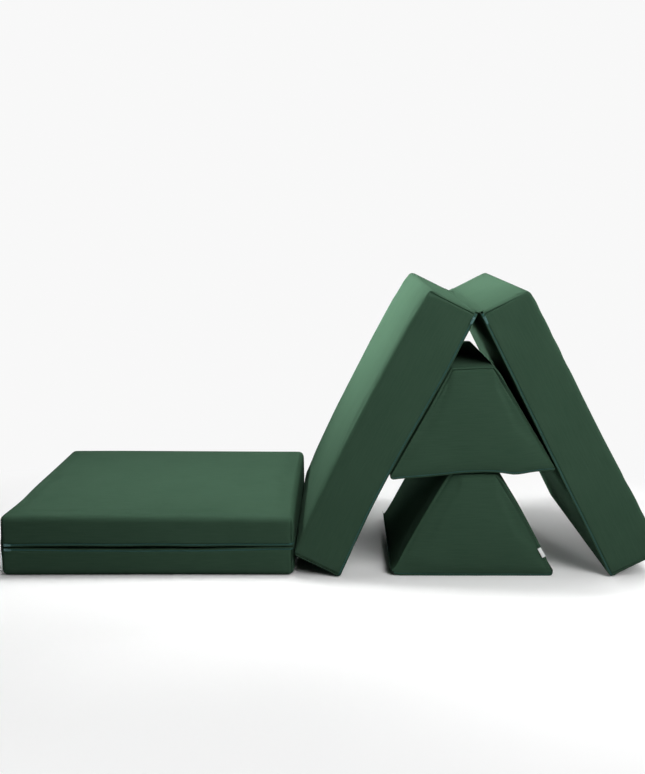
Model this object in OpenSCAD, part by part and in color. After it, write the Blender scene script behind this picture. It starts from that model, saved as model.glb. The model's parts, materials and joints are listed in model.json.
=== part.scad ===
// Soft foam play and landing set, set up as one row: a thin two-panel folding mat lying
// folded, a thick two-panel folding mat stood up as an A-frame, and two wedge blocks stacked
// between the legs of the A-frame. Every panel and block is a foam core in a zip-off cover.
// Millimetres, +Z up, +X along the row, +Y away from the viewer, origin at the bottom centre.

/* [Panels] */
// Side of every square panel
panel = 840; // [760:10:920]
// Thickness of a thin panel at its edges
thin_t = 85; // [70:1:110]
// Thickness of a thick panel at its edges
thick_t = 146; // [120:1:165]
// Gap that a sewn hinge leaves between two panels folded together
fold_gap = 3; // [2:0.5:6]
// Rise of a panel's outer face from its edges to its middle
face_crown = 3; // [0:0.5:8]
// How far a panel's outer edges are drawn in between the corners
edge_pull = 3; // [0:0.5:6]

/* [Wedge blocks] */
// Width of a wedge block at its base
wedge_base = 453; // [420:1:456]
// Width of a wedge block at its top
wedge_top = 122; // [100:1:140]
// Height of a wedge block
wedge_h = 301; // [270:1:301]
// Depth of a wedge block from front to back
wedge_depth = 580; // [480:10:700]
// Swell of a wedge block's front and back faces
wedge_swell = 3; // [0:0.5:6]
// Rise of a wedge block's top face
wedge_crown = 2; // [0:0.5:4]

/* [Set-up] */
// Lean of each thick panel from upright, in degrees
lean = 26.8; // [26:0.1:28]
// Clear space between the thin mat and the widest point of the A-frame
mat_gap = 10; // [5:1:60]
// How far the A-frame stands forward of the thin mat
thick_forward = 14; // [0:1:40]
// How far the lower wedge block stands forward of the thin mat
lower_forward = 5; // [0:1:40]
// How far the upper wedge block stands forward of the thin mat
upper_forward = 18; // [0:1:40]
// How far the lower wedge block sits left of the middle of the A-frame
lower_left = 7; // [0:1:20]
// Clear space between the upper wedge block and each leg
rest_gap = 0.6; // [0.4:0.1:2]

/* [Cover] */
// Thickness of the cover fabric
fabric = 1.6; // [1:0.1:1.6]
// Radius of a panel's soft outer edges
edge_r = 18; // [10:1:24]
// Radius of the sewn corners of a panel
corner_r = 14; // [8:1:20]
// Radius of the sewn edges of a wedge block
wedge_r = 13; // [6:1:14]
// Space between a foam core and its cover
foam_gap = 0.6; // [0.5:0.1:1]

/* [Zip] */
// Height of the zip tape between the cover's rim and the sheet that it closes
zip_h = 8; // [7.8:0.1:9]
// Length of a zip's slider
slider_l = 11; // [9:0.5:14]
// Width of a zip's slider
slider_w = 7.4; // [7:0.1:7.6]
// Length of a slider's pull tab
pull_l = 16; // [14:1:30]

/* [Label] */
// Length of the blank side label along its seam
label_l = 30; // [20:1:40]
// Width of the label that shows outside the seam
label_w = 11; // [8:1:16]
// Height of the label's middle above the floor
label_z = 75; // [60:1:120]

/* [Hidden] */

// Colours of the cloth, the foam, the zip tape, its metal and the label
green = "#34503f";
foam_cream = "#e6dcc0";
teal = "#2b6b62";
pale_metal = "#a9c4bd";
white = "#f2f2ee";

// Levels through a panel or block, from the zipped face up
sheet_t = fabric;
rim_z = sheet_t + zip_h;
zip_mid = sheet_t + zip_h / 2;

// Steps of a rounded corner, of a side between corners, and of a rounded edge
corner_steps = 3;
side_steps = 4;
edge_steps = 4;

// Inset of the tape's back, of its front, and of the raised teeth, and half the teeth's width
tape_back = 1.8;
tape_front = 1;
teeth_front = 0.3;
teeth_half = 1.2;

// Hinge strip: its thickness, its inset from the end of a panel, the radius of the welt on the
// fold line, and how far the fold line lies outside the end of a panel
strip_t = 1.4;
strip_in = 0.1;
welt_r = 1.4;
fold_out = 1;

// Where the zip-off sheet and the zip begin along a panel
sheet_start = 2;
zip_start = 12;

// Slider and pull: where the slider parks, and the pin's distance in front of the cover
park = 20;
plate_front = 2;
plate_back = 0.2;
flange_t = 1.1;
flange_back = 0.3;
pin_out = 3.6;
pin_r = 0.8;
pin_play = 0.05;
ear_r = 1.5;
ear_in = 2;
ear_out = 3;
eye_r = 1.35;
eye_half = 1.7;
tab_t = 1;
tab_half = 3;
tab_start = 5;
label_t = 0.8;
label_lift = 0.3;

// Slope of a wedge block's sides from upright, and the tilt that lays the upper one flush on
// the left leg
wedge_slope = atan((wedge_base - wedge_top) / 2 / wedge_h);
tilt = wedge_slope - lean;

// Half the spread of the A-frame's feet, the height of its hinge, and its reach to each side
foot_half = (panel + fold_out) * sin(lean) + fold_gap / 2 * cos(lean);
apex_z = (panel + fold_out) * cos(lean) - fold_gap / 2 * sin(lean);
reach = (panel + fold_out - edge_r) * sin(lean)
  + (thick_t + fold_gap / 2 - edge_r) * cos(lean) + edge_r;
row_l = panel + mat_gap + 2 * reach;

// Places in the row
mat_x = -row_l / 2;
apex_x = row_l / 2 - reach;
mat_y = upper_forward / 2;
front = mat_y - panel / 2;
upper_z = (2 * foot_half - wedge_base * (cos(tilt) + sin(tilt) * tan(lean)) - 2 * rest_gap)
  / (2 * tan(lean));
upper_x = apex_x - foot_half + upper_z * tan(lean) + rest_gap;

// Points round a rectangle with rounded corners, anticlockwise, with its sides along Y drawn
// in by pull[1] and its sides along X by pull[0] between the corners
function outline(x0, x1, y0, y1, r, pull = [0, 0], steps = 0) =
  [
    for (k = [0:3])
      let (
        cx = [x1 - r, x0 + r, x0 + r, x1 - r],
        cy = [y1 - r, y1 - r, y0 + r, y0 + r],
        next = (k + 1) % 4,
        out = [cos(90 * k + 90), sin(90 * k + 90)],
        p = [cx[k], cy[k]] + r * out,
        q = [cx[next], cy[next]] + r * out
      )
      each concat(
        [
          for (i = [0:corner_steps])
            let (a = 90 * (k + i / corner_steps))
            [cx[k] + r * cos(a), cy[k] + r * sin(a)]
        ],
        [
          for (i = [1:1:steps])
            let (t = i / (steps + 1))
            p + (q - p) * t - out * pull[k % 2] * 4 * t * (1 - t)
        ]
      )
  ];

// A closed solid skinned over rings of points, with a flat fan on the first and last ring. The
// quads between rings are split along one diagonal or the other.
module skin(rings, other_diagonal = false) {
  n = len(rings[0]);
  m = len(rings);
  ends = [for (r = [rings[0], rings[m - 1]]) [for (i = [0:2]) sum_of(r, i) / n]];
  walls = [
    for (i = [0:m - 2], j = [0:n - 1])
      let (a = i * n + j, b = i * n + (j + 1) % n)
      each other_diagonal
        ? [[a, a + n, b], [b, a + n, b + n]]
        : [[a, a + n, b + n], [a, b + n, b]]
  ];
  caps = [
    for (j = [0:n - 1])
      let (k = (j + 1) % n)
      each [[m * n, j, k], [m * n + 1, (m - 1) * n + k, (m - 1) * n + j]]
  ];
  polyhedron(concat([for (r = rings) each r], ends), concat(walls, caps));
}

function sum_of(points, axis, i = 0) =
  i == len(points) ? 0 : points[i][axis] + sum_of(points, axis, i + 1);

// Height of a panel's outer face at an inset from its sides
function face_z(t, crown, inset) =
  let (u = (inset - edge_r) / (panel / 2 - edge_r))
  t + crown * (2 - u) * u;

function panel_ring(inset, z, pull) =
  [
    for (p = outline(
      inset, panel - inset, inset - panel / 2, panel / 2 - inset,
      max(corner_r - inset, 1), [pull, pull], side_steps
    ))
      [p.x, p.y, z]
  ];

// Rings of a panel's skin at a depth under the cover's outer surface, from a level upwards
function panel_rings(t, crown, depth, low_z, steps) =
  let (r = edge_r - depth, spread = [0.12, 0.27, 0.47])
  concat(
    [panel_ring(depth, low_z, 0)],
    [
      for (i = [0:steps])
        let (a = 90 * i / steps, z = t - edge_r + r * sin(a))
        panel_ring(edge_r - r * cos(a), z, edge_pull * (z - rim_z) / (t - rim_z))
    ],
    [
      for (s = spread)
        panel_ring(s * panel, face_z(t, crown, s * panel) - depth, edge_pull * (1 - 2 * s))
    ]
  );

function reversed(list) = [for (i = [1:len(list)]) list[len(list) - i]];

// The five-sided cover of a panel, open on its zipped face
module panel_cover(t, crown) {
  color(green)
    skin(
      concat(
        reversed(panel_rings(t, crown, fabric, rim_z, 2)),
        panel_rings(t, crown, 0, rim_z, edge_steps)
      )
    );
}

// The foam block that fills a panel, split into triangles like the inside of its cover
module panel_foam(t, crown) {
  color(foam_cream)
    skin(panel_rings(t, crown, fabric + foam_gap, sheet_t + foam_gap / 2, 2), true);
}

// The flat sheet that zips over a panel's inner face
module inner_sheet() {
  color(green)
    linear_extrude(sheet_t)
      polygon(outline(sheet_start, panel, -panel / 2, panel / 2, corner_r));
}

// Section of a closed zip as insets and levels, with the teeth raised along the middle
zip_section = [
  [tape_back, sheet_t], [tape_back, rim_z], [tape_front, rim_z],
  [teeth_front, zip_mid + teeth_half], [teeth_front, zip_mid - teeth_half],
  [tape_front, sheet_t]
];

// Path round three sides at an inset and a level: front, far end and back
function three_sides(start, end, y0, y1, r, inset, z) =
  let (
    x1 = end - inset,
    corner = outline(start, x1, y0 + inset, y1 - inset, r - inset),
    n = corner_steps + 1
  )
  [
    for (p = concat(
      [[start, y0 + inset]],
      [for (i = [0:corner_steps]) corner[3 * n + i]],
      [for (i = [0:corner_steps]) corner[i]],
      [[start, y1 - inset]]
    ))
      [p.x, p.y, z]
  ];

module zip_band(paths) {
  color(teal)
    skin([for (i = [0:len(paths[0]) - 1]) [for (p = paths) p[i]]]);
}

// The zip round the front, free end and back of a panel
module panel_zip() {
  zip_band([
    for (s = zip_section)
      three_sides(zip_start, panel, -panel / 2, panel / 2, corner_r, s[0], s[1])
  ]);
}

// A slider whose shoe straddles the teeth: X along the zip, -Y outwards, Z across the tape
module slider() {
  color(pale_metal)
    union() {
      translate([-slider_l / 2, -plate_front, -slider_w / 2])
        cube([slider_l, plate_front - plate_back, slider_w]);
      for (side = [0, 1])
        mirror([0, 0, side]) {
          translate([-slider_l / 2, -plate_back - pin_play, slider_w / 2 - flange_t])
            cube([slider_l, plate_back + pin_play + flange_back, flange_t]);
          translate([-ear_r, -pin_out, ear_in])
            cube([2 * ear_r, pin_out - plate_front + pin_play, ear_out - ear_in]);
          translate([0, -pin_out, ear_in])
            cylinder(r = ear_r, h = ear_out - ear_in, $fn = 32);
        }
      translate([0, -pin_out, -ear_in - pin_play])
        cylinder(r = pin_r, h = 2 * (ear_in + pin_play), $fn = 32);
    }
}

// The tab that swings on a slider's pin
module pull_tab() {
  color(pale_metal)
    translate([0, -pin_out, 0])
      difference() {
        union() {
          translate([0, 0, -eye_half])
            cylinder(r = eye_r, h = 2 * eye_half, $fn = 32);
          translate([0, -tab_t / 2, -eye_half])
            cube([tab_start + eye_half, tab_t, 2 * eye_half]);
          translate([tab_start, -tab_t / 2, -tab_half])
            cube([pull_l - tab_start - tab_half, tab_t, 2 * tab_half]);
          translate([pull_l - tab_half, tab_t / 2, 0])
            rotate([90, 0, 0])
              cylinder(r = tab_half, h = tab_t, $fn = 32);
        }
        translate([0, 0, -eye_half - pin_play])
          cylinder(r = pin_r + pin_play, h = 2 * (eye_half + pin_play), $fn = 32);
      }
}

module at_panel_slider() {
  translate([park, -panel / 2, zip_mid])
    children();
}

// One leaf of a sewn hinge, from the fold line up to the cover's rim
module hinge_leaf() {
  leaf_l = panel - 2 * corner_r;
  translate([fold_out + strip_in, -leaf_l / 2, 0])
    cube([strip_t, leaf_l, rim_z + fold_gap / 2]);
}

module hinge_welt() {
  welt_l = panel - 2 * corner_r;
  translate([0, welt_l / 2, 0])
    rotate([90, 0, 0])
      cylinder(r = welt_r, h = welt_l, $fn = 32);
}

// Half the width of a wedge block at a level, and a ring of its skin at a depth under it
function wedge_half(z) = wedge_base / 2 - z * tan(wedge_slope);

function wedge_ring(depth, z, inset = 0) =
  let (
    x = wedge_half(z) - depth / cos(wedge_slope) - inset,
    y = wedge_depth / 2 - wedge_swell - depth - inset,
    swell = -wedge_swell * sin(180 * min(max(z - rim_z, 0) / (wedge_h - rim_z), 1))
  )
  [
    for (p = outline(-x, x, -y, y, max(wedge_r - depth - inset, 1), [swell, 0], side_steps))
      [p.x, p.y, z]
  ];

function wedge_rings(depth, low_z, steps) =
  let (edge_z = wedge_h - wedge_crown, r = wedge_r - depth, levels = [0.3, 0.6, 0.85])
  concat(
    [wedge_ring(depth, low_z)],
    [for (s = levels) wedge_ring(depth, s * wedge_h)],
    [
      for (i = [0:steps])
        let (a = 90 * i / steps)
        wedge_ring(depth, edge_z - wedge_r + r * sin(a), r * (1 - cos(a)))
    ],
    [wedge_ring(depth, wedge_h - depth, 0.35 * wedge_top)]
  );

// The cover of a wedge block, open at its base
module wedge_cover() {
  color(green)
    skin(concat(reversed(wedge_rings(fabric, rim_z, 2)), wedge_rings(0, rim_z, edge_steps)));
}

module wedge_foam() {
  color(foam_cream)
    skin(wedge_rings(fabric + foam_gap, sheet_t + foam_gap / 2, 2), true);
}

// The sheet that zips over a wedge block's base, turned up where it is sewn to the cover
module base_sheet() {
  y = wedge_depth / 2 - wedge_swell;
  sewn_l = 2 * (y - wedge_r);
  color(green) {
    linear_extrude(sheet_t)
      polygon(outline(-wedge_half(sheet_t), wedge_half(sheet_t), -y, y, wedge_r));
    translate([0, sewn_l / 2, 0])
      rotate([90, 0, 0])
        linear_extrude(sewn_l)
          polygon([
            for (c = [[0, sheet_t / 2], [0, rim_z], [strip_t, rim_z], [strip_t, sheet_t / 2]])
              [c[0] - wedge_half(c[1]), c[1]]
          ]);
  }
}

// The zip round the front, right side and back of a wedge block's base
module wedge_zip() {
  y = wedge_depth / 2 - wedge_swell;
  zip_band([
    for (s = zip_section)
      three_sides(zip_start - wedge_half(rim_z), wedge_half(s[1]), -y, y, wedge_r, s[0], s[1])
  ]);
}

module at_wedge_slider() {
  translate([park - wedge_half(rim_z), wedge_depth / 2 - wedge_swell, zip_mid])
    mirror([0, 1, 0])
      children();
}

// The blank label sewn into the right seam of the front face
module side_label() {
  color(white)
    translate([wedge_half(label_z), wedge_swell - wedge_depth / 2 - label_lift, label_z])
      rotate([0, -wedge_slope, 0])
        translate([-label_w - label_lift, -label_t, -label_l / 2])
          cube([label_w, label_t, label_l]);
}

// Places of the six pieces. A panel is placed by its fold line.
module at_thin_fold() {
  translate([mat_x - fold_out, mat_y, thin_t + fold_gap / 2])
    children();
}

module at_thick_fold() {
  translate([apex_x, mat_y - thick_forward, apex_z])
    children();
}

module from_fold() {
  translate([fold_out, 0, fold_gap / 2])
    children();
}

module thin_upper() {
  at_thin_fold()
    from_fold()
      children();
}

module thin_lower() {
  at_thin_fold()
    mirror([0, 0, 1])
      from_fold()
        children();
}

module thick_right() {
  at_thick_fold()
    rotate([0, 90 - lean, 0])
      from_fold()
        children();
}

module thick_left() {
  at_thick_fold()
    mirror([1, 0, 0])
      rotate([0, 90 - lean, 0])
        from_fold()
          children();
}

module lower_wedge() {
  translate([apex_x - lower_left, front - lower_forward + wedge_depth / 2, 0])
    children();
}

module upper_wedge() {
  translate([upper_x, front - upper_forward + wedge_depth / 2, upper_z])
    rotate([0, -tilt, 0])
      translate([wedge_base / 2, 0, 0])
        children();
}

// Fabric hinge between the two thin panels, lying straight up their folded edge
module thin_hinge_strip() {
  color(green)
    at_thin_fold()
      union() {
        hinge_welt();
        for (side = [0, 1])
          mirror([0, 0, side])
            hinge_leaf();
      }
}

// Fabric hinge between the two thick panels, in the valley at the top of the A-frame
module thick_hinge_strip() {
  color(green)
    at_thick_fold()
      union() {
        hinge_welt();
        for (side = [0, 1])
          mirror([side, 0, 0])
            rotate([0, 90 - lean, 0])
              hinge_leaf();
      }
}

thin_lower() panel_foam(thin_t, 0);  // thin_lower_foam
thin_lower() panel_cover(thin_t, 0);  // thin_lower_cover
thin_lower() inner_sheet();  // thin_lower_inner_sheet
thin_lower() panel_zip();  // thin_lower_zip
thin_lower() at_panel_slider() slider();  // thin_lower_slider
thin_lower() at_panel_slider() pull_tab();  // thin_lower_pull
thin_upper() panel_foam(thin_t, face_crown);  // thin_upper_foam
thin_upper() panel_cover(thin_t, face_crown);  // thin_upper_cover
thin_upper() inner_sheet();  // thin_upper_inner_sheet
thin_upper() panel_zip();  // thin_upper_zip
thin_upper() at_panel_slider() slider();  // thin_upper_slider
thin_upper() at_panel_slider() pull_tab();  // thin_upper_pull
thin_hinge_strip();
thick_left() panel_foam(thick_t, face_crown);  // thick_left_foam
thick_left() panel_cover(thick_t, face_crown);  // thick_left_cover
thick_left() inner_sheet();  // thick_left_inner_sheet
thick_left() panel_zip();  // thick_left_zip
thick_left() at_panel_slider() slider();  // thick_left_slider
thick_left() at_panel_slider() pull_tab();  // thick_left_pull
thick_right() panel_foam(thick_t, face_crown);  // thick_right_foam
thick_right() panel_cover(thick_t, face_crown);  // thick_right_cover
thick_right() inner_sheet();  // thick_right_inner_sheet
thick_right() panel_zip();  // thick_right_zip
thick_right() at_panel_slider() slider();  // thick_right_slider
thick_right() at_panel_slider() pull_tab();  // thick_right_pull
thick_hinge_strip();
lower_wedge() wedge_foam();  // lower_wedge_foam
lower_wedge() wedge_cover();  // lower_wedge_cover
lower_wedge() base_sheet();  // lower_wedge_base_sheet
lower_wedge() wedge_zip();  // lower_wedge_zip
lower_wedge() at_wedge_slider() slider();  // lower_wedge_slider
lower_wedge() at_wedge_slider() pull_tab();  // lower_wedge_pull
lower_wedge() side_label();  // lower_wedge_label
upper_wedge() wedge_foam();  // upper_wedge_foam
upper_wedge() wedge_cover();  // upper_wedge_cover
upper_wedge() base_sheet();  // upper_wedge_base_sheet
upper_wedge() wedge_zip();  // upper_wedge_zip
upper_wedge() at_wedge_slider() slider();  // upper_wedge_slider
upper_wedge() at_wedge_slider() pull_tab();  // upper_wedge_pull
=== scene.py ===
import json
import math

import bmesh
import bpy
from mathutils import Matrix, Vector, noise


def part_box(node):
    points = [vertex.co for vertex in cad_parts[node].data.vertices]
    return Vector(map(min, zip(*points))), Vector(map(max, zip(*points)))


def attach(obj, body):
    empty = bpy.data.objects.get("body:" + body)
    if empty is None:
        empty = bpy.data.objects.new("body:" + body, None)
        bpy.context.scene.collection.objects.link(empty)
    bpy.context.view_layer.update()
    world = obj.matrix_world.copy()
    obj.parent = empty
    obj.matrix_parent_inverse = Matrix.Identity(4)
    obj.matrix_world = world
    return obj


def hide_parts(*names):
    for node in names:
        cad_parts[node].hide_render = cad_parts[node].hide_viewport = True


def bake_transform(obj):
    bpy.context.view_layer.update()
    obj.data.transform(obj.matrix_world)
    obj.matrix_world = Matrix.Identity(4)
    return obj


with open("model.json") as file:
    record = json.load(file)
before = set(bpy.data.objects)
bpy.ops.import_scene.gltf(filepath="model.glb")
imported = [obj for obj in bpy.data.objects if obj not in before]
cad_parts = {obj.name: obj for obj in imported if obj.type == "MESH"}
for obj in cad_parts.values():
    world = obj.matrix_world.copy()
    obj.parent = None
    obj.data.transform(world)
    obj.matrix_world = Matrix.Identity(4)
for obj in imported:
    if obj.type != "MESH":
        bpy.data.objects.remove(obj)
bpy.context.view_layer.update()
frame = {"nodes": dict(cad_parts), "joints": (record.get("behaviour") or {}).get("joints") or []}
scene = bpy.context.scene
scene.view_settings.view_transform = "Standard"


# Camera: stands in front of the set, a little over the height of the A-frame, and looks
# down at it with a normal lens, as the photograph does.
eye = Vector((0.0553, -3.2630, 1.0259))
look_down, look_left, roll = math.radians(9.542), math.radians(1.154), math.radians(-0.457)
camera = bpy.data.objects.new("camera", bpy.data.cameras.new("camera"))
camera.data.sensor_width = 36
camera.data.lens = 48.687
camera.matrix_world = (
    Matrix.Translation(eye)
    @ Matrix.Rotation(look_left, 4, "Z")
    @ Matrix.Rotation(math.pi / 2 - look_down, 4, "X")
    @ Matrix.Rotation(roll, 4, "Z")
)
scene.collection.objects.link(camera)
scene.camera = camera


# Studio: a white paper sweep under soft boxes at both sides, above and behind, with gentler ones at
# the front. The fronts of the pieces lie in half shade, and the tops and the left side are light.
paper_white = (0.94, 0.94, 0.94, 1)
paper_bounce = (0.38, 0.38, 0.38, 1)
paper_lit = (1.0, 1.0, 1.0, 1)
paper_reach = 30
lit_centre, lit_reach = (-0.2, -0.6, 0), (1.7, 1.05, 1)
fade_from, fade_to = 0.5, 1.5
room_tint, room_glow = (0.9, 0.95, 1, 1), 0.016


def soft_box(name, stand, aim, size, watts, beam=180):
    """A rectangle of soft light that the camera doesn't see. A grid on it narrows its beam."""
    lamp = bpy.data.lights.new(name, "AREA")
    lamp.shape = "RECTANGLE"
    lamp.size, lamp.size_y = size
    lamp.energy = watts
    lamp.spread = math.radians(beam)
    holder = bpy.data.objects.new(name, lamp)
    holder.visible_camera = False
    way = Vector(aim) - Vector(stand)
    holder.matrix_world = Matrix.Translation(stand) @ way.to_track_quat("-Z", "Y").to_matrix().to_4x4()
    scene.collection.objects.link(holder)


soft_box("left_grid", (-2.2, 0.6, 2.0), (0.4, 0, 0.75), (1.2, 0.8), 11.2, 35)
soft_box("left_box", (-3.2, 0, 1.3), (0.2, 0, 0.6), (2.0, 1.0), 9.6)
soft_box("top_grid", (-0.3, 0.3, 3.0), (-0.45, 0, 0.17), (1.4, 1.2), 3.8, 35)
soft_box("right_grid", (2.0, 0.5, 1.9), (0.36, 0, 0.79), (0.8, 0.8), 2, 30)
soft_box("top_box", (1.2, 0.2, 3.2), (0.4, 0, 0), (1.6, 1.6), 41.6)
soft_box("right_back_box", (2.2, 2.0, 2.4), (0.6, 0, 0.7), (2.4, 2.0), 43.2)
soft_box("left_back_box", (-0.35, 2.8, 0.7), (0.48, 0.1, 0.72), (0.8, 0.6), 12, 27)
soft_box("back_box", (0.2, 2.4, 0.4), (0.2, 0, 0.3), (4.0, 0.7), 9.6)
soft_box("front_box", (1.6, -2.2, 3.4), (0.3, 0, 0.5), (1.6, 1.6), 51.2)
soft_box("front_grid", (1.3, -2.4, 1.8), (0.45, -0.4, 0.65), (1.2, 1.0), 3.2, 60)
soft_box("front_fill", (2.2, -2.4, 1.6), (0.3, -0.4, 0.4), (1.2, 1.2), 21.6)
soft_box("paper_box", (-0.8, -1.7, 2.2), (-0.8, -1.7, 0), (1.4, 0.8), 1.7, 50)


def combined(nodes, links, operation, first, second):
    """The result of one sum on two values."""
    step = nodes.new("ShaderNodeMath")
    step.operation = operation
    links.new(first, step.inputs[0])
    links.new(second, step.inputs[1])
    return step.outputs[0]


def tinted(nodes, links, share, first, second):
    """A colour that goes from the first one to the second as the share goes from zero to one."""
    mix = nodes.new("ShaderNodeMix")
    mix.data_type = "RGBA"
    mix.inputs["A"].default_value = first
    mix.inputs["B"].default_value = second
    links.new(share, mix.inputs["Factor"])
    return mix.outputs["Result"]


def seen_directly(nodes, links):
    """One for what the camera sees straight, in a mirror or through glass, and zero for bounced light."""
    rays = nodes.new("ShaderNodeLightPath")
    total = rays.outputs["Is Camera Ray"]
    for way in ("Is Glossy Ray", "Is Transmission Ray"):
        total = combined(nodes, links, "MAXIMUM", total, rays.outputs[way])
    return total


room = bpy.data.worlds.new("room")
room.use_nodes = True
scene.world = room
room_nodes, room_links = room.node_tree.nodes, room.node_tree.links
room_nodes.clear()
room_out = room_nodes.new("ShaderNodeOutputWorld")
room_mix = room_nodes.new("ShaderNodeMixShader")
room_dim = room_nodes.new("ShaderNodeBackground")
room_dim.inputs["Color"].default_value = room_tint
room_dim.inputs["Strength"].default_value = room_glow
room_white = room_nodes.new("ShaderNodeBackground")
room_white.inputs["Color"].default_value = paper_white
room_links.new(seen_directly(room_nodes, room_links), room_mix.inputs["Fac"])
room_links.new(room_dim.outputs[0], room_mix.inputs[1])
room_links.new(room_white.outputs[0], room_mix.inputs[2])
room_links.new(room_mix.outputs[0], room_out.inputs["Surface"])

paper = bpy.data.materials.new("white_paper")
paper.use_nodes = True
nodes, links = paper.node_tree.nodes, paper.node_tree.links
nodes.clear()
paper_out = nodes.new("ShaderNodeOutputMaterial")
seen = seen_directly(nodes, links)
paper_colour = tinted(nodes, links, seen, paper_bounce, paper_lit)
paper_cloth = nodes.new("ShaderNodeBsdfDiffuse")
links.new(paper_colour, paper_cloth.inputs["Color"])
paper_far = nodes.new("ShaderNodeEmission")
paper_far.inputs["Color"].default_value = paper_white
where = nodes.new("ShaderNodeTexCoord")
lit_part = nodes.new("ShaderNodeMapping")
lit_part.vector_type = "TEXTURE"
lit_part.inputs["Location"].default_value = lit_centre
lit_part.inputs["Scale"].default_value = lit_reach
links.new(where.outputs["Object"], lit_part.inputs["Vector"])
distance = nodes.new("ShaderNodeVectorMath")
distance.operation = "LENGTH"
links.new(lit_part.outputs["Vector"], distance.inputs[0])
fade = nodes.new("ShaderNodeMapRange")
fade.interpolation_type = "SMOOTHSTEP"
fade.inputs["From Min"].default_value = fade_from
fade.inputs["From Max"].default_value = fade_to
links.new(distance.outputs["Value"], fade.inputs["Value"])
far_seen = combined(nodes, links, "MULTIPLY", fade.outputs["Result"], seen)
paper_mix = nodes.new("ShaderNodeMixShader")
links.new(far_seen, paper_mix.inputs["Fac"])
links.new(paper_cloth.outputs[0], paper_mix.inputs[1])
links.new(paper_far.outputs[0], paper_mix.inputs[2])
links.new(paper_mix.outputs[0], paper_out.inputs["Surface"])

bm = bmesh.new()
bmesh.ops.create_circle(bm, cap_ends=True, segments=96, radius=paper_reach)
floor_mesh = bpy.data.meshes.new("paper_floor")
bm.to_mesh(floor_mesh)
bm.free()
floor_mesh.materials.append(paper)
paper_floor = bpy.data.objects.new("paper_floor", floor_mesh)
scene.collection.objects.link(paper_floor)


# Foam cores: six blocks of upholstery foam, sawn to size and bare inside their covers. Each fills
# its cover from the zipped face up, with the cover drawn tight over its edges.
joint = {j["name"]: j for j in frame["joints"]}
thin_fold = Vector(joint["thin_fold"]["pos_m"])
thick_fold = Vector(joint["thick_fold"]["pos_m"])
lean = math.radians(90 - joint["thick_fold"]["range_deg"][1] / 2)
sheet_low, sheet_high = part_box("thin_upper_inner_sheet")
panel_side = sheet_high.y - sheet_low.y
cover_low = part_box("thin_upper_cover")[0]
rim = cover_low.z - sheet_low.z
fold_to_panel = Matrix.Translation((cover_low.x - thin_fold.x, 0, sheet_low.z - thin_fold.z))
turned_over = Matrix.Scale(-1, 4, (0, 0, 1))
left_handed = Matrix.Scale(-1, 4, (1, 0, 0))
down_a_leg = Matrix.Rotation(math.pi / 2 - lean, 4, "Y")
at_thin_fold = Matrix.Translation(thin_fold)
at_thick_fold = Matrix.Translation(thick_fold)
place = {
    "thin_lower": at_thin_fold @ turned_over @ fold_to_panel,
    "thin_upper": at_thin_fold @ fold_to_panel,
    "thick_left": at_thick_fold @ left_handed @ down_a_leg @ fold_to_panel,
    "thick_right": at_thick_fold @ down_a_leg @ fold_to_panel,
}
panels = list(place)

base_low, base_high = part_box("lower_wedge_base_sheet")
base_middle = (base_low + base_high) / 2
wedge_half, wedge_deep = (base_high.x - base_low.x) / 2, base_high.y - base_low.y
wedge_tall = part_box("lower_wedge_cover")[1].z
upper_run = Vector(joint["upper_wedge_zip_run"]["axis"])
upper_tilt = math.atan2(upper_run.z, upper_run.x)
wedge_slope = lean + upper_tilt
top_half = wedge_half - wedge_tall * math.tan(wedge_slope)
rest_low, rest_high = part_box("upper_wedge_base_sheet")
place["lower_wedge"] = Matrix.Translation((base_middle.x, base_middle.y, 0))
place["upper_wedge"] = (
    Matrix.Translation((rest_low.x, (rest_low.y + rest_high.y) / 2, rest_low.z))
    @ Matrix.Rotation(-upper_tilt, 4, "Y")
    @ Matrix.Translation((wedge_half, 0, 0))
)
wedges = ["lower_wedge", "upper_wedge"]

thick_of = {}
for name, matrix in place.items():
    back = matrix.inverted()
    thick_of[name] = max((back @ v.co).z for v in frame["nodes"][f"{name}_cover"].data.vertices)

end_cuts, as_one = (0.15, 0.35, 0.65, 1), 1e-6


def cut_lines(low, high, radius, cell):
    """Where a side is cut: close together over its rounded ends and a cell apart between them."""
    ends = [radius * share for share in end_cuts]
    count = max(1, round((high - low - 2 * radius) / cell))
    middle = [low + radius + (high - low - 2 * radius) * i / count for i in range(1, count)]
    return [low + e for e in ends] + middle + [high - e for e in ends]


def cut_across(bm, axis, lines):
    """Cuts the whole mesh square to an axis, at each of the lines."""
    across = Vector([float(i == axis) for i in range(3)])
    for line in lines:
        everything = bm.verts[:] + bm.edges[:] + bm.faces[:]
        bmesh.ops.bisect_plane(bm, geom=everything, dist=as_one, plane_co=across * line, plane_no=across)


def soft_block(low, high, radii, cell, flat_base, slope=0, soft=True):
    """A block cut into cells, drawn in by a slope to its top, with a radius for each way on its edges."""
    bm = bmesh.new()
    bmesh.ops.create_cube(bm, size=1)
    bmesh.ops.scale(bm, vec=high - low, verts=bm.verts)
    bmesh.ops.translate(bm, vec=(low + high) / 2, verts=bm.verts)
    for axis in range(3):
        cut_across(bm, axis, cut_lines(low[axis], high[axis], radii[axis], cell))
    for v in bm.verts:
        in_by = Vector((v.co.z * math.tan(slope), 0, 0))
        v.co.x *= 1 - in_by.x / high.x
        least, most = low + in_by + radii, high - in_by - radii
        core = Vector([max(least[i], min(most[i], v.co[i])) for i in range(3)])
        if flat_base:
            core.z = min(v.co.z, most.z)
        if not soft:
            core = v.co
        out = Vector([(v.co[i] - core[i]) / radii[i] for i in range(3)])
        if out.length > 0:
            v.co = core + out.normalized() * max(abs(share) for share in out) * radii
    bm.normal_update()
    return bm


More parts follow.
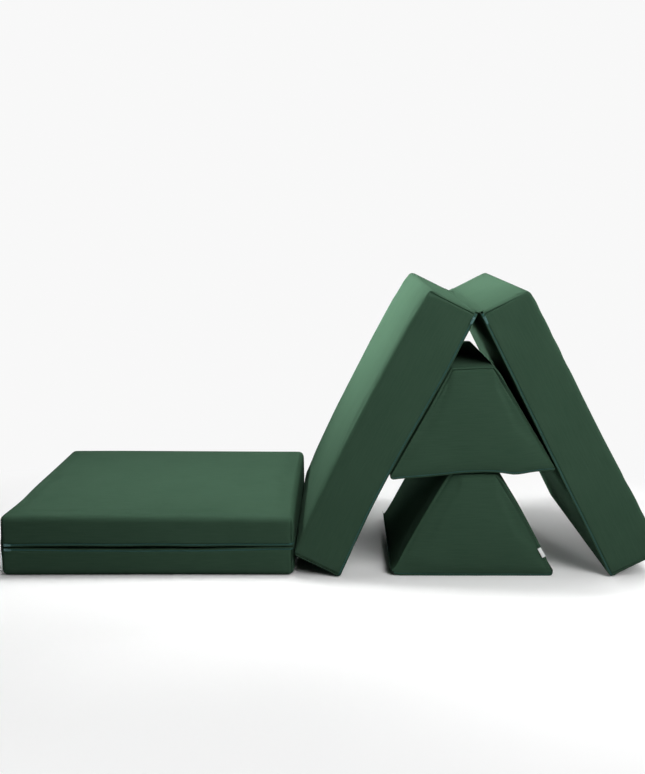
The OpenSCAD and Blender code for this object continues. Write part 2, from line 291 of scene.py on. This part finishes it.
def finished(name, bm, material, smooth=True):
    """The piece as an object whose place is in its mesh."""
    mesh = bpy.data.meshes.new(name)
    bm.to_mesh(mesh)
    bm.free()
    mesh.materials.append(material)
    for face in mesh.polygons:
        face.use_smooth = smooth
    piece = bpy.data.objects.new(name, mesh)
    scene.collection.objects.link(piece)
    return piece


def put(bm, matrix):
    """Moves a mesh from a panel's own frame to its place in the set, faces outwards."""
    bmesh.ops.transform(bm, matrix=matrix, verts=bm.verts)
    if matrix.determinant() < 0:
        bmesh.ops.reverse_faces(bm, faces=bm.faces)


def blank_material(name):
    """A new material with its nodes, its links and its shader."""
    material = bpy.data.materials.new(name)
    material.use_nodes = True
    nodes, links = material.node_tree.nodes, material.node_tree.links
    return material, nodes, links, nodes["Principled BSDF"]


def give_relief(nodes, links, shader, height, strength, distance):
    """Gives the surface of a material a fine relief."""
    relief = nodes.new("ShaderNodeBump")
    relief.inputs["Strength"].default_value = strength
    relief.inputs["Distance"].default_value = distance
    links.new(height, relief.inputs["Height"])
    links.new(relief.outputs["Normal"], shader.inputs["Normal"])


level = ((0, 0),)
outer_lie = {
    "thin_upper": ((0, 0.006), (0.2, 0.006), (0.84, 0)),
    "thick_left": ((0, 0.002), (0.12, 0.011), (0.45, 0.017), (0.7, 0.012), (0.84, 0.003)),
    "thick_right": ((0, 0.001), (0.3, 0.004), (0.55, 0.008), (0.72, 0.013), (0.84, 0.010)),
}
inner_lie = {"thick_left": ((0, 0), (0.2, 0), (0.4, 0.008), (0.56, 0.012), (0.7, 0.008), (0.84, 0.001))}
right_give = {
    "lower_wedge": ((0, 0.006), (0.1, 0.012), (0.2, 0.013), (0.3, 0.007)),
    "upper_wedge": level,
}
left_give = {
    "lower_wedge": ((0, 0.006), (0.1, 0.009), (0.2, 0.009), (0.3, 0.007)),
    "upper_wedge": ((0, 0.011), (0.1, 0.006), (0.2, 0.001), (0.3, 0)),
}
base_line = {
    "lower_wedge": level,
    "upper_wedge": (
        (-0.226, -0.016), (-0.195, -0.010), (-0.145, -0.008), (-0.07, -0.003), (-0.04, 0),
        (0.03, 0), (0.075, -0.004), (0.112, -0.010), (0.165, -0.004), (0.226, -0.001),
    ),
}
base_give = 0.05
left_corner = {"lower_wedge": 0.026, "upper_wedge": 0.022}
right_corner = {"lower_wedge": 0.010, "upper_wedge": 0.008}
end_reach, end_power, foot_round = 0.003, 4, 0.013
slack, slack_height, slack_scale, slack_seed = 0.0020, 0.035, 8, 7.3
slack_start, slack_end = 0.05, 0.12
front_sag, front_reach, sag_power, sag_end, sag_fade = 0.006, 0.06, 0.7, 0.92, 0.2
zip_tuck, tuck_height, tuck_start, tuck_end, tuck_fade = 0.005, 0.006, 0.1, 0.88, 0.08
fold_pull, pull_reach, pull_height, pull_at, pull_wide = 0.006, 0.12, 0.05, 0.2, 0.15


def between(marks, x):
    """The height at x of a smooth line through the marks."""
    x = max(marks[0][0], min(marks[-1][0], x))
    for i in range(len(marks) - 1):
        (x0, y0), (x1, y1) = marks[i], marks[i + 1]
        if x <= x1:
            before, after = marks[max(0, i - 1)], marks[min(len(marks) - 1, i + 2)]
            rise0 = (y1 - before[1]) / (x1 - before[0]) * (x1 - x0)
            rise1 = (after[1] - y0) / (after[0] - x0) * (x1 - x0)
            t = (x - x0) / (x1 - x0)
            bend = (2 * y0 - 2 * y1 + rise0 + rise1) * t**3 + (3 * y1 - 3 * y0 - 2 * rise0 - rise1) * t**2
            return bend + rise0 * t + y0
    return marks[-1][1]


def half_at(z):
    """Half the width of a wedge at a height."""
    return wedge_half - z * math.tan(wedge_slope)


def ramp(x):
    """x, but no less than zero and no more than one."""
    return min(1, max(0, x))


def bell(x):
    """One at zero, and next to nothing from two on."""
    return math.exp(-(x**2))


def off_corner(radius, part):
    """How far a rounded corner lies from the sharp one, at a part of its radius."""
    return radius * (1 - math.sqrt(1 - part**2))


def lie(name, co):
    """How far a point lies from its true place: foam gives under a load, and cloth is slack by the zip."""
    by_zip = bell(co.z / slack_height)
    seed = list(place).index(name) * slack_seed
    ripple = slack * by_zip * noise.noise(Vector((co.x * slack_scale, co.y * slack_scale, seed)))
    if name in wedges:
        give, corners = (right_give, right_corner) if co.x > 0 else (left_give, left_corner)
        part, corner = co.x / half_at(co.z), corners[name]
        outwards = between(give[name], co.z) * part
        drop = between(base_line[name], co.x) * bell(co.z / base_give)
        drop += off_corner(corner, ramp(1 - (wedge_half - abs(co.x)) / corner)) * bell(co.z / corner)
        if name == "upper_wedge":
            slide = drop * math.tan(wedge_slope) * min(0, part) ** 2
            return Vector((outwards + slide, 0, drop))
        return Vector((outwards, 0, drop + ripple))
    along, over = ramp(co.x / panel_side), co.y / panel_side + 0.5
    through = ramp(co.z / thick_of[name])
    inner = between(inner_lie.get(name, level), co.x)
    outer = between(outer_lie.get(name, level), co.x)
    loose = ramp(co.x / slack_start) * ramp((panel_side - co.x) / slack_end)
    move = Vector((end_reach * along**end_power, 0, inner + (outer - inner) * through + ripple * loose))
    if name.startswith("thick"):
        toe = ramp(1 - (panel_side - co.x) / foot_round)
        move.z += off_corner(foot_round, toe) * bell(co.z / foot_round)
    if name == "thin_lower":
        by_front = bell(over / front_reach)
        sagging = math.sin(math.pi * along) ** sag_power * ramp((sag_end - along) / sag_fade)
        move.z += front_sag * by_zip * by_front * sagging
        tucked = ramp(along / tuck_start) * ramp((tuck_end - along) / tuck_fade)
        move.y += zip_tuck * tucked * by_front * bell(co.z / tuck_height)
    if name == "thin_upper":
        by_fold = bell(co.x / pull_reach) * ramp(co.z / pull_height)
        move.x += fold_pull * by_fold * bell((over - pull_at) / pull_wide)
    return move


foam_inset, foam_edge, foam_cell = 0.012, 0.006, 0.05
foam_side_inset = foam_inset * 1.5
foam_dark, foam_light = (0.79, 0.71, 0.52, 1), (0.86, 0.80, 0.63, 1)
foam_material, nodes, links, shader = blank_material("upholstery_foam")
shader.inputs["Roughness"].default_value = 0.95
shader.inputs["Specular IOR Level"].default_value = 0.1
where = nodes.new("ShaderNodeTexCoord")
pores = nodes.new("ShaderNodeTexVoronoi")
pores.inputs["Scale"].default_value = 700
links.new(where.outputs["Object"], pores.inputs["Vector"])
yellowing = nodes.new("ShaderNodeTexNoise")
yellowing.inputs["Scale"].default_value = 5
links.new(where.outputs["Object"], yellowing.inputs["Vector"])
foam_tint = tinted(nodes, links, yellowing.outputs["Fac"], foam_dark, foam_light)
links.new(foam_tint, shader.inputs["Base Color"])
give_relief(nodes, links, shader, pores.outputs["Distance"], strength=0.4, distance=0.001)

for name in place:
    if name in panels:
        low = Vector((foam_inset, foam_inset - panel_side / 2, rim))
        high = Vector((panel_side - foam_inset, panel_side / 2 - foam_inset, thick_of[name] - foam_inset))
    else:
        low = Vector((foam_side_inset - wedge_half, foam_inset - wedge_deep / 2, rim))
        high = Vector((wedge_half - foam_side_inset, wedge_deep / 2 - foam_inset, wedge_tall - foam_inset))
    slope = wedge_slope if name in wedges else 0
    bm = soft_block(low, high, Vector((foam_edge,) * 3), foam_cell, False, slope)
    for v in bm.verts:
        v.co += lie(name, v.co)
    put(bm, place[name])
    core = finished(f"{name}_foam_core", bm, foam_material)
    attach(core, name)
    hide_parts(f"{name}_foam")


# Panel covers: one piece of green cotton canvas folded down round the foam and sewn at the four
# corners, with its open rim on the zip. The long edges have no seam, so they stay soft.
fabric_dark, fabric_light = (0.035, 0.0725, 0.0455, 1), (0.0437, 0.0862, 0.0552, 1)
thread = 0.0011
fabric, nodes, links, shader = blank_material("green_canvas")
shader.inputs["Roughness"].default_value = 0.92
shader.inputs["Specular IOR Level"].default_value = 0.0
shader.inputs["Sheen Weight"].default_value = 0.01
shader.inputs["Sheen Roughness"].default_value = 0.5
shader.inputs["Sheen Tint"].default_value = (0.75, 1, 0.85, 1)
laid = nodes.new("ShaderNodeUVMap")
laid.uv_map = "laid_flat"
slub_way = nodes.new("ShaderNodeMapping")
slub_way.inputs["Scale"].default_value = (16, 250, 1)
links.new(laid.outputs["UV"], slub_way.inputs["Vector"])
slubs = nodes.new("ShaderNodeTexNoise")
slubs.inputs["Scale"].default_value = 1
slubs.inputs["Detail"].default_value = 3
links.new(slub_way.outputs["Vector"], slubs.inputs["Vector"])
dye = nodes.new("ShaderNodeTexNoise")
dye.inputs["Scale"].default_value = 7
dye.inputs["Detail"].default_value = 4
links.new(laid.outputs["UV"], dye.inputs["Vector"])
mottle = nodes.new("ShaderNodeMix")
mottle.inputs["Factor"].default_value = 0.4
links.new(slubs.outputs["Fac"], mottle.inputs["A"])
links.new(dye.outputs["Fac"], mottle.inputs["B"])
spread = nodes.new("ShaderNodeMapRange")
spread.inputs["From Min"].default_value = 0.3
spread.inputs["From Max"].default_value = 0.7
links.new(mottle.outputs["Result"], spread.inputs["Value"])
fabric_tint = tinted(nodes, links, spread.outputs["Result"], fabric_dark, fabric_light)
links.new(fabric_tint, shader.inputs["Base Color"])
weave = []
for direction in ("X", "Y"):
    ridge = nodes.new("ShaderNodeTexWave")
    ridge.bands_direction = direction
    ridge.inputs["Scale"].default_value = math.pi / 10 / thread
    ridge.inputs["Distortion"].default_value = 1.5
    ridge.inputs["Detail"].default_value = 1
    ridge.inputs["Detail Scale"].default_value = 0.4
    links.new(laid.outputs["UV"], ridge.inputs["Vector"])
    weave.append(ridge.outputs["Fac"])
crossing = combined(nodes, links, "MAXIMUM", weave[0], weave[1])
knotty = combined(nodes, links, "ADD", crossing, slubs.outputs["Fac"])
give_relief(nodes, links, shader, knotty, strength=0.35, distance=0.0004)

cover_cell, mostly = 0.016, 0.7
lip, hem_in, hem_up, slider_room = 0.0024, 0.004, 0.002, 0.0012
seam_in, seam_wide, seam_deep = 0.009, 0.0015, 0.0050
seam_cuts, seam_from, seam_over = (-4, -1.5, 0, 1.5, 4), 0.2, 0.4
seam_uneven, seam_grain = 0.35, Vector((9, 3, 60))
faint_least, faint_from, faint_fall = 0.1, 1.7, 2
edge_round = {
    "thin_lower": Vector((0.018, 0.018, 0.018)),
    "thin_upper": Vector((0.020, 0.020, 0.021)),
    "thick_left": Vector((0.018, 0.007, 0.015)),
    "thick_right": Vector((0.022, 0.007, 0.018)),
}
crown = {"thin_lower": 0.0, "thin_upper": 0.003, "thick_left": 0.003, "thick_right": 0.003}
drawn_in = {"thin_lower": 0.003, "thin_upper": 0.003, "thick_left": 0, "thick_right": 0}
swell_frames, swell_pressure, swell_reach, swell_stretch = 18, 2.0, 0.004, 0.004
fold_room, end_roll, roll_power, roll_height, roll_sides = 0.0005, 0.006, 1.5, 0.02, 2.4
pucker_in, pucker_deep, pucker_wide = 0.010, 0.010, 0.0055


def lay_flat(bm, flat_place):
    """Gives every corner of the cloth its place on the flat cut, so that the weave runs true."""
    layer = bm.loops.layers.uv.new("laid_flat")
    for face in bm.faces:
        for loop in face.loops:
            loop[layer].uv = flat_place(loop.vert.co, face.normal)


def swell(bm, held):
    """Fills the cover out: the cloth is blown against its held rim, and no point moves far or inwards."""
    bm.verts.index_update()
    bm.normal_update()
    mesh = bpy.data.meshes.new("filling")
    bm.to_mesh(mesh)
    filling = bpy.data.objects.new("filling", mesh)
    scene.collection.objects.link(filling)
    filling.vertex_groups.new(name="held").add([v.index for v in held], 1.0, "REPLACE")
    modifier = filling.modifiers.new("cloth", "CLOTH")
    modifier.collision_settings.use_collision = False
    cloth = modifier.settings
    cloth.quality = 6
    cloth.vertex_group_mass = "held"
    cloth.use_pressure = True
    cloth.uniform_pressure_force = swell_pressure
    cloth.shrink_min = -swell_stretch
    cloth.effector_weights.gravity = 0
    for step in range(1, swell_frames + 1):
        scene.frame_set(step)
    shaped = filling.evaluated_get(bpy.context.evaluated_depsgraph_get()).data
    for v in bm.verts:
        move = shaped.vertices[v.index].co - v.co
        v.co += v.normal * min(swell_reach, max(0, move.dot(v.normal)))
    bpy.data.objects.remove(filling)
    bpy.data.meshes.remove(mesh)
    scene.frame_set(1)


def flat_panel(thick):
    """The flat cut of a panel's cover: its outer face, with the four sides laid out round it."""
    def flat_place(co, normal):
        drop = thick - co.z
        if abs(normal.z) > mostly:
            return co.x, co.y
        if abs(normal.y) > abs(normal.x):
            return co.x, math.copysign(panel_side / 2 + drop, co.y)
        return (-drop if normal.x < 0 else panel_side + drop), co.y
    return flat_place


def sew_corners(bm, name, thick):
    """Presses in the seams down the front and the back beside each end, and rolls the end edges."""
    for seam in (seam_in, panel_side - seam_in):
        cut_across(bm, 0, [seam + step * seam_wide for step in seam_cuts])
    bm.normal_update()
    for v in bm.verts:
        facing = ramp((abs(v.normal.y) - seam_from) / seam_over) if v.co.z > rim else 0
        to_end = min(v.co.x, panel_side - v.co.x)
        past_seam = max(0, 1 - to_end / seam_in)
        rolled = end_roll * past_seam**roll_power * ramp((v.co.z - rim) / roll_height)
        v.co.y -= math.copysign(rolled, v.co.y) * min(1, abs(v.co.y) * roll_sides / panel_side)
        depth = seam_deep * bell((to_end - seam_in) / seam_wide) * facing
        if name == "thick_right":
            depth *= min(1, max(faint_least, faint_from - faint_fall * v.co.z / thick))
        uneven = 1 + seam_uneven * noise.noise((v.co * seam_grain).zyx)
        v.co.y -= math.copysign(depth * uneven, v.co.y)
        if name == "thick_left":
            from_pucker = (v.co - Vector((seam_in, -panel_side / 2, thick - pucker_in))).length
            v.co.y += pucker_deep * bell(from_pucker / pucker_wide)


def turn_hem(bm):
    """Turns the cover's rim in behind the zip tape."""
    bm.normal_update()
    base = [f for f in bm.faces if f.normal.z < -0.8 and f.calc_center_median().z < rim]
    bmesh.ops.inset_region(bm, faces=base, thickness=hem_in, depth=-hem_up)


def finish_cover(name, bm):
    """Lays the sewn cover over its block, with its cloth rounded between the cuts."""
    for v in bm.verts:
        v.co += lie(name, v.co)
    turn_hem(bm)
    put(bm, place[name])
    cover = finished(f"{name}_canvas_cover", bm, fabric)
    fuller = cover.modifiers.new("fuller", "SUBSURF")
    fuller.levels = fuller.render_levels = 1
    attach(cover, name)
    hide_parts(f"{name}_cover")


def arch(x):
    """Zero at both ends and one in the middle."""
    return 4 * x * (1 - x)


for name in panels:
    thick = thick_of[name] - crown[name]
    low = Vector((0, -panel_side / 2, rim - lip))
    high = Vector((panel_side, panel_side / 2, thick))
    bm = soft_block(low, high, edge_round[name], cover_cell, True)
    lay_flat(bm, flat_panel(thick))
    for v in bm.verts:
        along, over = v.co.x / panel_side, v.co.y / panel_side + 0.5
        rise = max(0, (v.co.z - rim) / (thick - rim))
        v.co.z += crown[name] * arch(along) * arch(over) * rise
        v.co.x += drawn_in[name] * rise * arch(over) * (1 - 2 * along)
        v.co.y += drawn_in[name] * rise * arch(along) * (1 - 2 * over)
    swell(bm, [v for v in bm.verts if v.co.z < rim])
    for v in bm.verts:
        v.co.x = max(v.co.x, -fold_room)
        if name == "thin_lower":
            v.co.z = min(v.co.z, thick)
    sew_corners(bm, name, thick)
    rim_half = panel_side / 2 - slider_room
    for v in bm.verts:
        if v.co.z < rim and abs(v.co.y) > rim_half:
            v.co.y = math.copysign(rim_half, v.co.y)
    finish_cover(name, bm)


# Wedge covers: front and back cut from one piece each and sewn into a long strip that goes up one
# side, over the top and down the other. The seam lies just inside the edges of the front and back.
wedge_corner, wedge_edge, sharp_edge = 0.018, 0.007, 0.0001
wedge_crown, wedge_swelling, base_margin = 0.002, 0.003, 1e-5
wedge_seam_in, wedge_seam_from, wedge_seam_over = 0.009, 0.15, 0.3
wedge_grain = Vector((50, 3, 50))
top_tightness = {"lower_wedge": 0.4, "upper_wedge": 0.85}
top_share, side_tightness = 0.25, 0.15
soft_left, soft_reach, soft_rise = 0.011, 0.045, 4
facing_up, strip_apart = 0.9, 2


def within_wedge(x, z, tall):
    """How far a point lies inside the outline of a wedge's front, and the way out from there."""
    side = Vector((math.copysign(math.cos(wedge_slope), x), 0, math.sin(wedge_slope)))
    from_side = (half_at(z) - abs(x)) * math.cos(wedge_slope)
    from_top = tall - z
    if from_side < wedge_corner and from_top < wedge_corner:
        lean_in = math.tan(math.pi / 4 - wedge_slope / 2)
        centre_x = half_at(tall) - wedge_corner * lean_in
        out = Vector((x - math.copysign(centre_x, x), 0, z - (tall - wedge_corner)))
        if out.x * x > 0 and out.z > out.length * math.sin(wedge_slope):
            return wedge_corner - out.length, out.normalized()
    if from_side < from_top:
        return from_side, side
    return from_top, Vector((0, 0, 1))


def wedge_block(low, high):
    """A wedge cut into cells, with rounded top corners, and its front and back edges turned in."""
    radii = Vector((wedge_edge, wedge_edge, sharp_edge))
    bm = soft_block(low, high, radii, cover_cell, True, wedge_slope, False)
    for v in bm.verts:
        inside, way = within_wedge(v.co.x, v.co.z, high.z)
        if inside < 0:
            v.co += way * inside
            inside = 0
        from_face = high.y - abs(v.co.y)
        if inside < wedge_edge and from_face < wedge_edge and v.co.z > low.z + base_margin:
            turn = Vector((wedge_edge - inside, wedge_edge - from_face)) / wedge_edge
            full = turn.normalized() * max(turn) - turn
            v.co += way * full.x * wedge_edge
            v.co.y += math.copysign(full.y * wedge_edge, v.co.y)
    bm.normal_update()
    return bm


def flat_wedge(co, normal):
    """The flat cut of a wedge's cover: its front and back, and the long strip laid apart from them."""
    if abs(normal.y) > mostly:
        return co.x, co.z
    if abs(normal.z) > facing_up:
        return co.x, co.y + strip_apart
    down_side = top_half + (wedge_tall - co.z) / math.cos(wedge_slope)
    return math.copysign(down_side, co.x), co.y + strip_apart


def sew_round(bm, name):
    """Presses the seam in round the sides and top of the front and the back."""
    foot = Vector((half_at(0), 0, 0))
    outwards = Vector((math.cos(wedge_slope), 0, math.sin(wedge_slope)))
    mirrored = Vector((-1, 1, 1))
    sides = [(foot, outwards), (foot * mirrored, outwards * mirrored)]
    sides.append((Vector((0, 0, wedge_tall)), Vector((0, 0, 1))))
    for corner, way in sides:
        for step in seam_cuts:
            faces = [f for f in bm.faces if abs(f.normal.y) > wedge_seam_from]
            edges = list({e for f in faces for e in f.edges})
            verts = list({v for f in faces for v in f.verts})
            line = corner - way * (wedge_seam_in + step * seam_wide)
            bmesh.ops.bisect_plane(bm, geom=verts + edges + faces, dist=as_one, plane_co=line, plane_no=way)
            bm.normal_update()
    for v in bm.verts:
        facing = ramp((abs(v.normal.y) - wedge_seam_from) / wedge_seam_over) if v.co.z > rim else 0
        within = within_wedge(v.co.x, v.co.z, wedge_tall)[0]
        from_top = (wedge_tall - v.co.z) / wedge_tall
        tightness = top_tightness[name] * bell(from_top / top_share) + side_tightness
        depth = seam_deep * bell((within - wedge_seam_in) / seam_wide) * facing * tightness
        uneven = 1 + seam_uneven * noise.noise(v.co * wedge_grain)
        v.co.y -= math.copysign(depth * uneven, v.co.y)


for name in wedges:
    low = Vector((-wedge_half, wedge_swelling - wedge_deep / 2, rim - lip))
    high = Vector((wedge_half, wedge_deep / 2 - wedge_swelling, wedge_tall - wedge_crown))
    bm = wedge_block(low, high)
    lay_flat(bm, flat_wedge)
    for v in bm.verts:
        rise = max(0, (v.co.z - rim) / (wedge_tall - rim))
        along, over = v.co.x / half_at(v.co.z), v.co.y / high.y
        v.co.y += math.copysign(wedge_swelling, v.co.y) * arch(rise) * (1 - along**2) * over**2
        v.co.z += wedge_crown * rise * max(0, 1 - along**2) * max(0, 1 - over**2)
        if name == "lower_wedge" and v.co.x < 0 and v.co.y < 0:
            to_side = max(0, (half_at(v.co.z) + v.co.x) * math.cos(wedge_slope))
            softness = max(0, 1 - to_side / soft_reach) ** 2 * min(1, soft_rise * rise)
            v.co.y += soft_left * softness * over**2
    swell(bm, [v for v in bm.verts if v.co.z < rim])
    sew_round(bm, name)
    finish_cover(name, bm)


# Inner and base sheets: the zip-off face of each block, one flat piece of the same canvas. Its hem
# turns up over the lower edge of the zip tape, and on the panels its fourth edge is at the hinge.
sheet_lift, sheet_hem, sheet_cloth, sheet_cell = 0.0006, 0.0030, 0.0008, 0.015
sheet_corner, hinge_gap = 0.014, 0.002

for name in place:
    if name in panels:
        low = Vector((hinge_gap, slider_room - panel_side / 2, sheet_lift))
        high = Vector((panel_side, panel_side / 2 - slider_room, sheet_lift))
    else:
        low = Vector((-wedge_half, wedge_swelling - wedge_deep / 2, sheet_lift))
        high = Vector((wedge_half, wedge_deep / 2 - wedge_swelling, sheet_lift))
    size, centre = high - low, (low + high) / 2
    bm = bmesh.new()
    bmesh.ops.create_grid(bm, x_segments=1, y_segments=1, size=0.5)
    bmesh.ops.scale(bm, vec=(size.x, size.y, 1), verts=bm.verts)
    bmesh.ops.translate(bm, vec=centre, verts=bm.verts)
    for axis in (0, 1):
        cut_across(bm, axis, cut_lines(low[axis], high[axis], sheet_corner, sheet_cell))
    for v in bm.verts:
        core = Vector([max(low[i] + sheet_corner, min(high[i] - sheet_corner, v.co[i])) for i in (0, 1)])
        out = v.co.xy - core
        if out.length > 0:
            v.co.xy = core + out.normalized() * max(abs(out.x), abs(out.y))
    rim_edges = [e for e in bm.edges if e.is_boundary]
    hem = bmesh.ops.extrude_edge_only(bm, edges=rim_edges)["geom"]
    hem_verts = [v for v in hem if isinstance(v, bmesh.types.BMVert)]
    bmesh.ops.translate(bm, vec=(0, 0, sheet_hem), verts=hem_verts)
    bmesh.ops.recalc_face_normals(bm, faces=bm.faces)
    lay_flat(bm, lambda co, normal: (co.x, co.y))
    for v in bm.verts:
        v.co += lie(name, v.co)
    put(bm, place[name])
    kind = "inner" if name in panels else "base"
    face = finished(f"{name}_{kind}_canvas", bm, fabric)
    cloth = face.modifiers.new("cloth", "SOLIDIFY")
    cloth.thickness, cloth.offset = sheet_cloth, -1
    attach(face, name)
    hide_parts(f"{name}_{kind}_sheet")


# Zips: a woven teal tape with a nylon coil, sewn between the cover's rim and the sheet. It goes
# along the front, round the free end and back along the rear of its block.
zip_teal, coil_teal = (0.025, 0.078, 0.065, 1), (0.037, 0.115, 0.098, 1)
tape_in, tape_cell, tape_cloth = 0.0024, 0.008, 0.0005
coil_pitch, coil_step, coil_size = 0.0028, 0.0005, Vector((0.0017, 0.0016, 0.0030))
tape_start = {"thin": 0.012, "thick": 0.005, "wedge": 0.012}
zip_low, zip_high = sheet_lift + sheet_hem / 2, rim - lip / 2
zip_middle = (sheet_lift + sheet_hem + rim - lip) / 2
zip_cloth, nodes, links, shader = blank_material("teal_zip")
shader.inputs["Roughness"].default_value = 0.7
shader.inputs["Specular IOR Level"].default_value = 0.2
ribs = nodes.new("ShaderNodeTexWave")
ribs.inputs["Scale"].default_value = 160
laid = nodes.new("ShaderNodeUVMap")
laid.uv_map = "laid_flat"
links.new(laid.outputs["UV"], ribs.inputs["Vector"])
zip_tint = tinted(nodes, links, ribs.outputs["Fac"], zip_teal, coil_teal)
links.new(zip_tint, shader.inputs["Base Color"])


def three_sides(start, end, half, turn):
    """The length of a run along the front, round the end and along the back, and the way to its points."""
    straight, arc, across = end - turn - start, math.pi * turn / 2, 2 * (half - turn)

    def at(s):
        """The point that lies s along the run, and the way outwards there."""
        if s < straight:
            return Vector((start + s, -half, 0)), Vector((0, -1, 0))
        s -= straight
        if s < arc:
            way = Vector((math.sin(s / turn), -math.cos(s / turn), 0))
            return Vector((end - turn, turn - half, 0)) + way * turn, way
        s -= arc
        if s < across:
            return Vector((end, turn - half + s, 0)), Vector((1, 0, 0))
        s -= across
        if s < arc:
            way = Vector((math.cos(s / turn), math.sin(s / turn), 0))
            return Vector((end - turn, half - turn, 0)) + way * turn, way
        return Vector((end - turn - (s - arc), half, 0)), Vector((0, 1, 0))

    return 2 * straight + 2 * arc + across, at


for name in place:
    if name in panels:
        begin = tape_start["thin" if name.startswith("thin") else "thick"]
        length, at = three_sides(begin, panel_side, panel_side / 2, sheet_corner)
    else:
        begin = tape_start["wedge"] - wedge_half
        length, at = three_sides(begin, half_at(zip_middle), wedge_deep / 2 - wedge_swelling, wedge_edge)
    bm = bmesh.new()
    bmesh.ops.create_grid(bm, x_segments=round(length / tape_cell), y_segments=1, size=0.5)
    bmesh.ops.scale(bm, vec=(length, zip_high - zip_low, 1), verts=bm.verts)
    bmesh.ops.translate(bm, vec=(length / 2, (zip_low + zip_high) / 2, -tape_in), verts=bm.verts)
    bmesh.ops.solidify(bm, geom=bm.faces, thickness=tape_cloth)
    for k in range(int(length / coil_pitch)):
        side_step = coil_step if k % 2 else -coil_step
        where_tooth = Vector(((k + 0.5) * coil_pitch, zip_middle + side_step, -tape_in + coil_size.y / 2))
        tooth = Matrix.Translation(where_tooth) @ Matrix.Diagonal((coil_size.x, coil_size.z, coil_size.y, 1))
        bmesh.ops.create_cube(bm, size=1, matrix=tooth)
    lay_flat(bm, lambda co, normal: (co.x, co.y))
    for v in bm.verts:
        point, way = at(v.co.x)
        v.co = point + way * v.co.z + Vector((0, 0, v.co.y))
        v.co += lie(name, v.co)
    put(bm, place[name])
    tape = finished(f"{name}_zip_tape", bm, zip_cloth, smooth=False)
    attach(tape, name)
    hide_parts(f"{name}_zip")


# Sliders and pulls: small zinc castings painted to match the zip, parked at the hinge end of each
# panel and at the back of each wedge. A pull hangs on its slider's pin.
painted_zinc, nodes, links, shader = blank_material("painted_zinc")
shader.inputs["Base Color"].default_value = (0.056, 0.144, 0.135, 1)
shader.inputs["Metallic"].default_value = 0.25
where = nodes.new("ShaderNodeTexCoord")
worn = nodes.new("ShaderNodeTexNoise")
worn.inputs["Scale"].default_value = 400
links.new(where.outputs["Object"], worn.inputs["Vector"])
gloss = nodes.new("ShaderNodeMapRange")
gloss.inputs["To Min"].default_value = 0.25
gloss.inputs["To Max"].default_value = 0.45
links.new(worn.outputs["Fac"], gloss.inputs["Value"])
links.new(gloss.outputs["Result"], shader.inputs["Roughness"])
for name in place:
    for kind in ("slider", "pull"):
        casting = frame["nodes"][f"{name}_{kind}"]
        casting.data.materials.clear()
        casting.data.materials.append(painted_zinc)


# Hinge strips: a band of the same canvas sewn along the rims of the two panels it joins, so that
# they fold flat on each other or open out. It bends at the fold line.
strip_short = {"thin_hinge": 0.020, "thick_hinge": 0.010}
strip_out, strip_cloth, strip_turn, strip_sewn = 0.0005, 0.0008, 0.0012, 0.004
fold_half = thin_fold.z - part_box("thin_lower_inner_sheet")[1].z
leaf = fold_half + rim + strip_sewn

for strip_name, first, second, middle_line in (
    ("thin_hinge", "thin_lower", "thin_upper", thin_fold),
    ("thick_hinge", "thick_left", "thick_right", thick_fold),
):
    strip_long = panel_side - 2 * strip_short[strip_name]
    bm = bmesh.new()
    bmesh.ops.create_grid(bm, x_segments=16, y_segments=56, size=0.5)
    bmesh.ops.scale(bm, vec=(2 * leaf, strip_long, 1), verts=bm.verts)
    lay_flat(bm, lambda co, normal: (co.x, co.y))
    for v in bm.verts:
        on_panel = first if v.co.x < 0 else second
        v.co = place[on_panel] @ Vector((-strip_out, v.co.y, abs(v.co.x) - fold_half))
    bmesh.ops.recalc_face_normals(bm, faces=bm.faces)
    strip = finished(f"{strip_name}_canvas", bm, fabric)
    cloth = strip.modifiers.new("cloth", "SOLIDIFY")
    cloth.thickness, cloth.offset = strip_cloth, 0
    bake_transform(strip)
    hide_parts(f"{strip_name}_strip")


# Side label: a folded tab of white satin tape caught in the right seam of the lower wedge's front.
# It is blank.
label_low, label_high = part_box("lower_wedge_label")
label_long, label_wide, label_fold, label_curl, label_out = 0.030, 0.0105, 0.0012, 2.5, 0.003
satin, nodes, links, shader = blank_material("white_satin")
shader.inputs["Base Color"].default_value = (0.86, 0.88, 0.87, 1)
shader.inputs["Roughness"].default_value = 0.45
shader.inputs["Sheen Weight"].default_value = 0.2
laid = nodes.new("ShaderNodeUVMap")
laid.uv_map = "laid_flat"
satin_rows = nodes.new("ShaderNodeTexWave")
satin_rows.inputs["Scale"].default_value = 700
links.new(laid.outputs["UV"], satin_rows.inputs["Vector"])
give_relief(nodes, links, shader, satin_rows.outputs["Fac"], strength=0.2, distance=0.0002)
bm = bmesh.new()
bmesh.ops.create_grid(bm, x_segments=16, y_segments=8, size=0.5)
lay_flat(bm, lambda co, normal: (co.x * 2 * label_wide, co.y * label_long))
for v in bm.verts:
    apart = math.copysign(label_fold / 2, v.co.x) * (1 - math.cos(math.pi * v.co.x) ** 4)
    out = (1 - (2 * abs(v.co.x)) ** label_curl) * label_wide
    v.co = Vector((-out, apart, v.co.y * label_long))
bmesh.ops.recalc_face_normals(bm, faces=bm.faces)
label_middle = (label_low + label_high) / 2
seam_x = half_at(label_middle.z) + between(right_give["lower_wedge"], label_middle.z) + label_out
seam_x += place["lower_wedge"].translation.x
hang = Matrix.Translation((seam_x, label_middle.y, label_middle.z)) @ Matrix.Rotation(-wedge_slope, 4, "Y")
put(bm, hang)
label = finished("blank_side_label", bm, satin)
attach(label, "lower_wedge")
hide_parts("lower_wedge_label")
